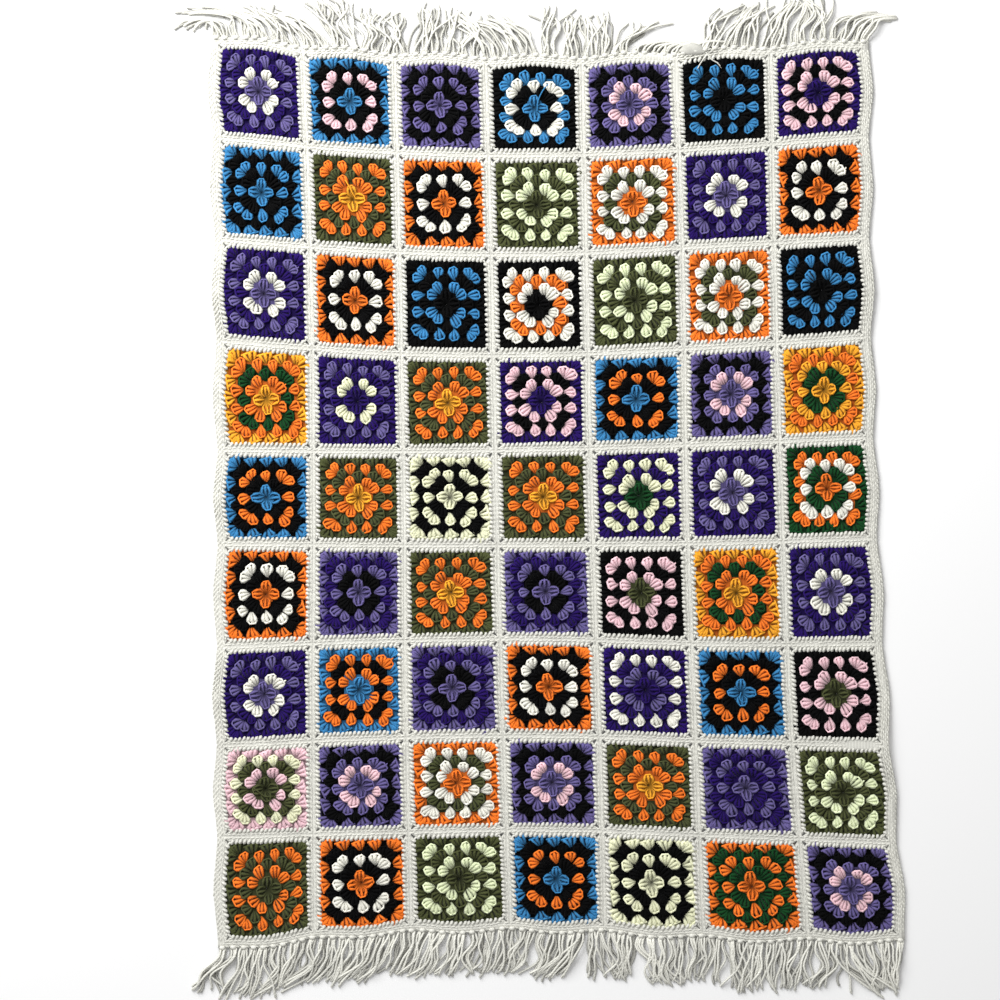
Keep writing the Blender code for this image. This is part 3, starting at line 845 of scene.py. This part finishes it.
# ---- loose ends of yarn left on the squares
TAILS = (
    # column, row, yarn, and the places that the end passes: (across, up) in the square's field
    (5, 0, "E", ((-0.36, 1.02), (-0.26, 0.86), (-0.12, 0.76), (-0.04, 0.66))),
    (5, 0, "E", ((-0.3, 1.0), (-0.42, 0.88), (-0.5, 0.78), (-0.57, 0.66))),
    (3, 0, "B", ((0.05, -0.08), (0.08, 0.14), (0.19, 0.36), (0.34, 0.54))),
    (1, 1, "G", ((0.07, 0.02), (-0.03, 0.18), (-0.1, 0.3), (-0.2, 0.44))),
    (5, 6, "B", ((0.0, 0.02), (-0.04, -0.1), (0.02, -0.18), (0.09, -0.16))),
    (0, 7, "L", ((-0.3, 0.08), (-0.18, -0.02), (-0.02, -0.15), (0.15, -0.16))),
    (4, 5, "L", ((0.02, 0.03), (0.12, -0.05), (0.1, -0.16), (0.02, -0.2))),
)
TAIL_HEIGHT, TAIL_RADIUS = 0.0072, 0.001
TAIL_DIP, TAIL_DIP_POWER = 0.003, 6  # of a tail's ends, and how short it is
TAIL_TIP = 0.5  # radius of the cut end, as a share
TAIL_STATIONS, TAIL_SIDES = 15, 6


def build_tails():
    """Short ends of yarn that lie on top of some squares."""
    letters = sorted({tail[2] for tail in TAILS})
    yarn = Yarn()
    share = np.linspace(0, 1, TAIL_STATIONS)
    height = TAIL_HEIGHT - TAIL_DIP * np.cos(math.pi * share) ** TAIL_DIP_POWER
    radius = TAIL_RADIUS * np.where(share == 1, TAIL_TIP, 1.0)
    for column, row, letter, places in TAILS:
        across, up = (station_curve(values, share) for values in np.array(places).T)
        path = square_to_world(column, row, np.stack((across, up, height), -1))
        yarn.tubes(path[None], radius[None], TAIL_SIDES, letters.index(letter), 1.0)
    return yarn.piece("loose_ends", "patchwork_yarn", letters)


# ---- seams and borders
SEAM_STATIONS = 40  # of a seam's line, before its stitches are set along it
SEAM_SWING, SEAM_SWING_STRAY = 0.0012, 0.0002  # of the yarn to each side of the seam
SEAM_HEIGHT, SEAM_RISE = 0.0036, 0.0004  # and up and down about its own height
SEAM_YARN = 0.75  # its radius, in yarn radii
SEAM_TONE, SEAM_SIDES = 0.98, 3


def along_line(points, share):
    """Points at shares (0 to 1) of the length of a path."""
    step = np.linalg.norm(np.diff(points, axis=0), axis=1)
    place = np.concatenate(([0], np.cumsum(step)))
    place /= place[-1]
    return np.stack([np.interp(share, place, points[:, k]) for k in range(points.shape[1])], -1)


def build_seams():
    """The thin yarn that joins the squares, sewn to and fro across their edges."""
    rng = np.random.default_rng(SEAM_SEED)
    yarn = Yarn()
    fine = np.linspace(0, 1, SEAM_STATIONS)
    lines = [(ROWS, cloth_xy(k, fine * ROWS)) for k in range(1, COLUMNS)]
    lines += [(COLUMNS, cloth_xy(fine * COLUMNS, k)) for k in range(1, ROWS)]
    for squares, line in lines:
        turns = 2 * squares * CHAINS
        path = along_line(line, np.arange(turns + 1) / turns) + SHIFT
        way = np.where(np.arange(len(path)) % 2, 1, -1)
        swing = SEAM_SWING * way + rng.normal(0, SEAM_SWING_STRAY, len(path))
        z = SEAM_HEIGHT + SEAM_RISE * way + lift(path)
        path = extended(path + right_of(np.gradient(path, axis=0)) * swing[:, None], z)
        yarn.tubes(path[None], YARN_RADIUS * SEAM_YARN, SEAM_SIDES, 0, SEAM_TONE)
    return yarn.piece("seam_stitches")


# A border stitch lies along its row and leans across it
BORDER_STITCH = np.array((
    # along the row, out of it (shares of the stitch's own length and depth), height, radius
    (-0.62, 0.15, 0.0032, 0.56),
    (-0.3, 0.3, 0.0043, 1.04),
    (0.26, 0.62, 0.0044, 1.07),
    (0.62, 0.9, 0.0032, 0.6),
))
STITCH_PITCH, STITCH_STRAY, STITCH_FLATNESS = 0.0074, 0.0002, 0.9
ROW_INSET = 0.75  # of a row's first and last stitches from its ends, in pitches
BORDER_TUCK = 0.0006  # of the first row under the joining round
HALF_LOOK = 0.002  # the way of a line is read over this share of it to each side
OUTLINE_STATIONS = 120
BORDERS = (("left", 3, 7), ("right", 3, 8), ("head", 2, 6), ("foot", 2, 6))  # side, rows, seed


def border_row(yarn, rng, line, out, start, depth, skew):
    """One row of border stitches along a line, from start to start + depth out of it."""
    length = np.linalg.norm(np.diff(line, axis=0), axis=1).sum()
    many = int(round(length / STITCH_PITCH))
    share = (np.arange(many) + 0.5 + skew) / many
    share = 0.5 + (share - 0.5) * (1 - 2 * ROW_INSET * STITCH_PITCH / length)
    middle = along_line(line, np.clip(share, 0, 1))
    before, after = (along_line(line, np.clip(share + look, 0, 1)) for look in (-HALF_LOOK, HALF_LOOK))
    along, across, height, radius = BORDER_STITCH.T
    xy = middle[:, None] + unit(after - before)[:, None] * (STITCH_PITCH * along)[:, None]
    xy = xy + np.array(out) * (start + depth * across)[:, None] + rng.normal(0, STITCH_STRAY, (many, 1, 2))
    z = height + lift(xy) + rng.normal(0, HEIGHT_STRAY, xy.shape[:2])
    tone = rng.normal(1.0, TONE_STRAY, (many, 1))
    yarn.tubes(extended(xy, z), YARN_RADIUS * radius, STITCH_SIDES, 0, tone, flat=STITCH_FLATNESS)


def outer_line(kind):
    """Outer seam line of one side of the blanket, and the way out of it."""
    fine = np.linspace(0, 1, OUTLINE_STATIONS)
    if kind in ("left", "right"):
        column, way = (0, -1) if kind == "left" else (COLUMNS, 1)
        return cloth_xy(column, fine * ROWS) + SHIFT, (way, 0)
    row, way = (0, 1) if kind == "head" else (ROWS, -1)
    line = cloth_xy(fine * COLUMNS, row) + SHIFT
    ends = line[[0, -1]] + ((-SIDE_BORDER, 0), (SIDE_BORDER, 0))
    return np.concatenate((ends[:1], line, ends[1:])), (0, way)


# Where the head border's edge has rolled over, as a soft plump fold, toned darker as painted shade on its
# side
ROLLED_EDGE = (0.224, 0.6545, 0.0096)  # its middle, before centring, and its height
ROLLED_EDGE_FORM = np.array((
    # along, out, radius
    (-0.0185, -0.002, 0.0024),
    (-0.012, 0.0, 0.0072),
    (0.0, 0.001, 0.0098),
    (0.011, 0.0, 0.0078),
    (0.018, -0.002, 0.0024),
))
FOLD_FLATNESS, FOLD_PAINTED_SHADE, FOLD_SIDES, FOLD_TURN = 0.45, 0.74, 12, 0.03


def add_rolled_edge(yarn):
    x, y, z = ROLLED_EDGE
    along, out, radius = ROLLED_EDGE_FORM.T
    path = np.stack((SHIFT[0] + x + along, SHIFT[1] + y + out, np.full(len(along), z)), -1)
    yarn.tubes(path[None], radius[None], FOLD_SIDES, 0, FOLD_PAINTED_SHADE, FOLD_FLATNESS, FOLD_TURN)


def build_borders():
    """Rows of stitches round the joined squares."""
    pieces = []
    for kind, rows, seed in BORDERS:
        rng = np.random.default_rng(seed)
        yarn = Yarn()
        line, out = outer_line(kind)
        width = SIDE_BORDER if kind in ("left", "right") else END_BORDER
        depth = (width + BORDER_TUCK) / rows
        for row in range(rows):
            border_row(yarn, rng, line, out, depth * row - BORDER_TUCK, depth, 0.5 * (row % 2))
        if kind == "head":
            add_rolled_edge(yarn)
        pieces.append(yarn.piece("border_" + kind))
    return pieces


# ---- fringe
# Locks from left to right: knots, how far the tips lie to the right, how closely the ends gather
# (0 in one point, 1 as wide as their knots), how far they reach out, and how far their tips fall
# back from that (1 not at all, 0 down to the knots)
HEAD_LOCKS = (
    # knots, lean, gather, reach, tips
    (2, -0.046, 0.6, 0.046, 0.3),
    (4, -0.064, 0.6, 0.062, 0.62),
    (6, -0.06, 0.7, 0.062, 0.8),
    (3, -0.04, 0.6, 0.072, 1),
    (1, -0.006, 0.9, 0.05, 0.95),
    (4, -0.008, 0.6, 0.062, 1),
    (3, 0.008, 0.4, 0.066, 1),
    (6, -0.008, 0.25, 0.064, 1),
    (4, -0.05, 0.6, 0.062, 0.86),
    (1, -0.008, 0.5, 0.072, 1),
    (5, -0.004, 0.75, 0.06, 1),
    (1, 0.006, 0.6, 0.062, 1),
    (2, 0.05, 0.6, 0.052, 0.8),
    (7, 0.056, 0.8, 0.026, 0.45),
    (6, 0.034, 0.6, 0.064, 0.9),
    (7, 0.014, 0.6, 0.07, 1),
    (4, 0.046, 1.5, 0.056, 0.62),
)
FOOT_LOCKS = (
    (1, -0.048, 0.8, 0.064, 0.95),
    (2, -0.026, 0.4, 0.07, 1),
    (3, -0.02, 0.7, 0.074, 1),
    (4, -0.03, 0.6, 0.07, 1),
    (8, -0.03, 0.8, 0.066, 0.98),
    (7, -0.02, 0.85, 0.064, 0.98),
    (7, -0.017, 0.85, 0.063, 1),
    (5, -0.028, 0.4, 0.066, 1),
    (1, 0.004, 0.4, 0.068, 1),
    (4, 0.004, 0.5, 0.066, 1),
    (5, 0.008, 0.7, 0.068, 1),
    (4, 0.0, 0.65, 0.065, 1),
    (4, 0.002, 0.35, 0.07, 1),
    (5, -0.002, 0.75, 0.07, 1),
    (2, -0.004, 0.5, 0.07, 1),
    (5, 0.034, 0.4, 0.072, 0.98),
    (2, 0.0, 0.5, 0.072, 1),
)
# end, its locks, how much its strands stray, seed
FRINGES = (("head", HEAD_LOCKS, 0.0085, 55), ("foot", FOOT_LOCKS, 0.0065, 56))
KNOT_SET = 0.0004  # from the end border's edge back to the middle of a knot
KNOT_STRAY, KNOT_SCATTER = 0.0006, 0.0003  # of a knot along the border, and every way
KNOT_ACROSS, KNOT_FATNESS = (-1.0, -0.72, 0.0, 0.72, 1.0), (0.3, 0.9, 1.0, 0.9, 0.3)
KNOT_HALF_WIDTH, KNOT_HEIGHT, KNOT_RADIUS = 0.004, 0.0044, 0.0036
KNOT_BOW = 0.0006  # how far back the ends of its head lie
# the knots' tone over 1 is painted highlight on their raised heads
KNOT_FLATNESS, KNOT_PAINTED_HIGHLIGHT, KNOT_SIDES = 0.85, 1.06, 6
ENDS_PER_KNOT = 6
STRAND_RADIUS, STRAND_STATIONS, STRAND_TURN = 0.00178, 13, 0.0055
CUT_END, CUT_TIP = 0.015, 0.1  # share of a strand that tapers, and radius of its tip, as a share
STRAND_SHARE = np.append(np.linspace(0, 1 - CUT_END, STRAND_STATIONS - 1), 1.0)
ROOT_PITCH, ROOT_OUT, ROOT_HEIGHT = 0.0018, 0.0012, 0.003  # where a knot's ends leave it
TIERS = (0.0, 0.0022, 0.0042, 0.0062)  # heights at which the strands lie over each other
TIER_PAINTED_LIGHT = (0.7, 0.92, 1.08, 1.14)  # painted shade on the lower strands, which lie under the others, and painted highlight on the upper ones
ARCH_START = 0.18  # share of its arch behind a strand at its knot, and of its way down off the border
ARCH_POWER = 0.6  # how flat the arch is
STRAY, STRAY_SHARES = 0.026, (0.06, 0.88, 0.06)  # sideways, for the few ends that lie across the others
REACH_STRAY, TIPS_STRAY, STRAND_TONE_STRAY = 0.055, 0.05, 0.03
# Shares of wild: how a knot's ends lean and swing together, and each one's own swing and bend
KNOT_SWAY, KNOT_SWING, OWN_SWING, OWN_BEND = 0.6, 0.75, 0.3, 0.8
# A strand bends at this share of its way aside, and of its reach with this share of its tip's fall
BEND_ACROSS, BEND_OUT, BEND_FALL = 0.16, 0.5, 0.55
SWING_BEATS, SWING_START = 1.8, 2  # half waves of a strand's swing, and how soon it grows
KINK, KINK_BEATS, KINK_START = 0.0017, 9.5, 4  # quick waves aside: size, radians, start
SLIP, SLIP_BEATS = 0.0008, 7  # and out
ANY_BEAT = 6.28  # range of the draw for a wave's start


def add_knots(yarn, rng, x, y, base, way):
    """A knot's head is a short plump bar of yarn over the border's edge."""
    across = np.array(KNOT_ACROSS)
    head = (x[:, None] + KNOT_HALF_WIDTH * across, y[:, None] - way * KNOT_BOW * across ** 2,
            base[:, None] + KNOT_HEIGHT)
    head = np.stack(np.broadcast_arrays(*head), -1) + rng.normal(0, KNOT_SCATTER, (len(x), 1, 3))
    radius = KNOT_RADIUS * np.array(KNOT_FATNESS)
    tone = rng.normal(KNOT_PAINTED_HIGHLIGHT, TONE_STRAY, (len(x), 1))
    yarn.tubes(head, radius, KNOT_SIDES, 0, tone, KNOT_FLATNESS)


def strand_run(rng, root, tip, reach, tips, swing, beat, wild):
    """Places of one strand, from its root to its tip: across, and out of its knot."""
    share = STRAND_SHARE
    far = reach * (1 + rng.normal(0, REACH_STRAY))
    fall = far * min(1.0, tips + rng.normal(0, TIPS_STRAY))
    bend_across = root + BEND_ACROSS * (tip - root) + rng.normal(0, wild * OWN_BEND)
    bend_out = BEND_OUT * far + BEND_FALL * (far - fall)
    b0, b1, b2 = (1 - share) ** 2, 2 * share * (1 - share), share ** 2
    swing = swing + rng.normal(0, wild * OWN_SWING)
    wave = swing * np.sin(math.pi * SWING_BEATS * share + beat) * np.minimum(1, SWING_START * share)
    kink = KINK * np.sin(KINK_BEATS * share + rng.uniform(0, ANY_BEAT)) * np.minimum(1, KINK_START * share)
    slip = SLIP * np.sin(SLIP_BEATS * share + rng.uniform(0, ANY_BEAT)) * share
    across = b0 * root + b1 * bend_across + b2 * tip + wave + kink
    return across, ROOT_OUT + b1 * bend_out + b2 * fall + slip


def strand_heights(level, base):
    """Heights of a strand that lies on a tier, from a border that is lifted by base."""
    arch = np.sin(math.pi * np.clip(ARCH_START + (1 - ARCH_START) * STRAND_SHARE, 0, 1)) ** ARCH_POWER
    height = np.maximum(STRAND_RADIUS, (STRAND_RADIUS + TIERS[level]) * arch)
    height += np.interp(STRAND_SHARE, (0, ARCH_START), (base, 0.0))
    height[0] = ROOT_HEIGHT + base
    return height


def build_fringe(kind, locks, wild, seed):
    """Knots and loose strands along one end. wild is how much the strands stray, in metres."""
    rng = np.random.default_rng(seed)
    line, (_, way) = outer_line(kind)
    knots = sum(lock[0] for lock in locks)
    pitch = (line[-1, 0] - line[0, 0]) / knots
    x = line[0, 0] + pitch * (np.arange(knots) + 0.5) + rng.normal(0, KNOT_STRAY, knots)
    y = np.interp(x, line[:, 0], line[:, 1]) + way * (END_BORDER - KNOT_SET)
    base = lift(np.stack((x, y), -1))
    yarn = Yarn()
    add_knots(yarn, rng, x, y, base, way)
    paths, tones = [], []
    first = 0
    for count, lean, gather, reach, tips in locks:
        middle = x[first:first + count].mean()
        for knot in range(first, first + count):
            sway = rng.normal(0, wild * KNOT_SWAY)
            swing, beat = rng.normal(0, wild * KNOT_SWING), rng.uniform(0, 2 * math.pi)
            for end in rng.permutation(ENDS_PER_KNOT):
                root = x[knot] + (end - (ENDS_PER_KNOT - 1) / 2) * ROOT_PITCH
                stray = rng.choice((-STRAY, 0.0, STRAY), p=STRAY_SHARES)
                tip = middle + (x[knot] - middle) * gather + lean + sway + stray + rng.normal(0, wild)
                across, out = strand_run(rng, root, tip, reach, tips, swing, beat, wild)
                level = rng.integers(len(TIERS))
                paths.append(np.stack((across, y[knot] + way * out, strand_heights(level, base[knot])), -1))
                tones.append(TIER_PAINTED_LIGHT[level] * (1 + rng.normal(0, STRAND_TONE_STRAY)))
        first += count
    taper = np.ones(STRAND_STATIONS)
    taper[-1] = CUT_TIP
    yarn.tubes(paths, STRAND_RADIUS * taper, STITCH_SIDES, 0, tones, turn=STRAND_TURN)
    return yarn.piece("fringe_yarn_" + kind)


# ---- stage
PHOTO_SPAN = 1.485  # metres that the view's width takes in
CAMERA_HEIGHT = 3.6
CAMERA_X, CAMERA_Y = -0.061, -0.012  # from the origin of the seam tables
SENSOR = 36  # mm
FLOOR_HALF = 6.0
FLOOR_COLOUR, FLOOR_ROUGHNESS = (0.99, 0.99, 0.99, 1), 0.9
STUDIO_STRENGTH = 0.39  # of the white light from all round
LAMPS = (
    # name, place, size in metres, power in watts
    ("key", (-1.55, 2.15, 1.95), 2.2, 152),
    ("fill", (1.6, -1.0, 2.8), 2.4, 7),
)


def build_floor():
    mesh = bpy.data.meshes.new("floor")
    corners = [(x * FLOOR_HALF, y * FLOOR_HALF, 0) for x, y in ((-1, -1), (1, -1), (1, 1), (-1, 1))]
    mesh.from_pydata(corners, [], [(0, 1, 2, 3)])
    material = bpy.data.materials.new("pale_floor")
    material.use_nodes = True
    shader = material.node_tree.nodes["Principled BSDF"]
    shader.inputs["Base Color"].default_value = FLOOR_COLOUR
    shader.inputs["Roughness"].default_value = FLOOR_ROUGHNESS
    mesh.materials.append(material)
    add_object("floor", mesh)


def build_lights():
    """Plain white surroundings and two soft lamps that face the origin."""
    world = bpy.data.worlds.new("studio")
    world.use_nodes = True
    background = world.node_tree.nodes["Background"]
    background.inputs["Color"].default_value = (1, 1, 1, 1)
    background.inputs["Strength"].default_value = STUDIO_STRENGTH
    bpy.context.scene.world = world
    for name, place, size, power in LAMPS:
        data = bpy.data.lights.new(name, "AREA")
        data.size = size
        data.energy = power
        lamp = add_object(name, data)
        lamp.location = place
        lamp.rotation_euler = (-lamp.location).to_track_quat("-Z", "Y").to_euler()


def build_camera():
    """A camera straight above, as the photo was taken."""
    data = bpy.data.cameras.new("camera")
    data.sensor_width = SENSOR
    data.lens = SENSOR * CAMERA_HEIGHT / PHOTO_SPAN
    camera = add_object("camera", data)
    camera.location = (SHIFT[0] + CAMERA_X, SHIFT[1] + CAMERA_Y, CAMERA_HEIGHT)
    bpy.context.scene.camera = camera
    bpy.context.scene.view_settings.view_transform = "Standard"


def main():
    build_floor()
    build_lights()
    build_camera()
    squares = [build_square(column, row, recipe)
               for row, words in enumerate(RECIPES)
               for column, recipe in enumerate(words.split())]
    ground = build_ground()
    seams = build_seams()
    borders = build_borders()
    tails = build_tails()
    head, foot = [build_fringe(*fringe) for fringe in FRINGES]
    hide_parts("blanket")
    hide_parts("fringe_head")
    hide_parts("fringe_foot")


main()
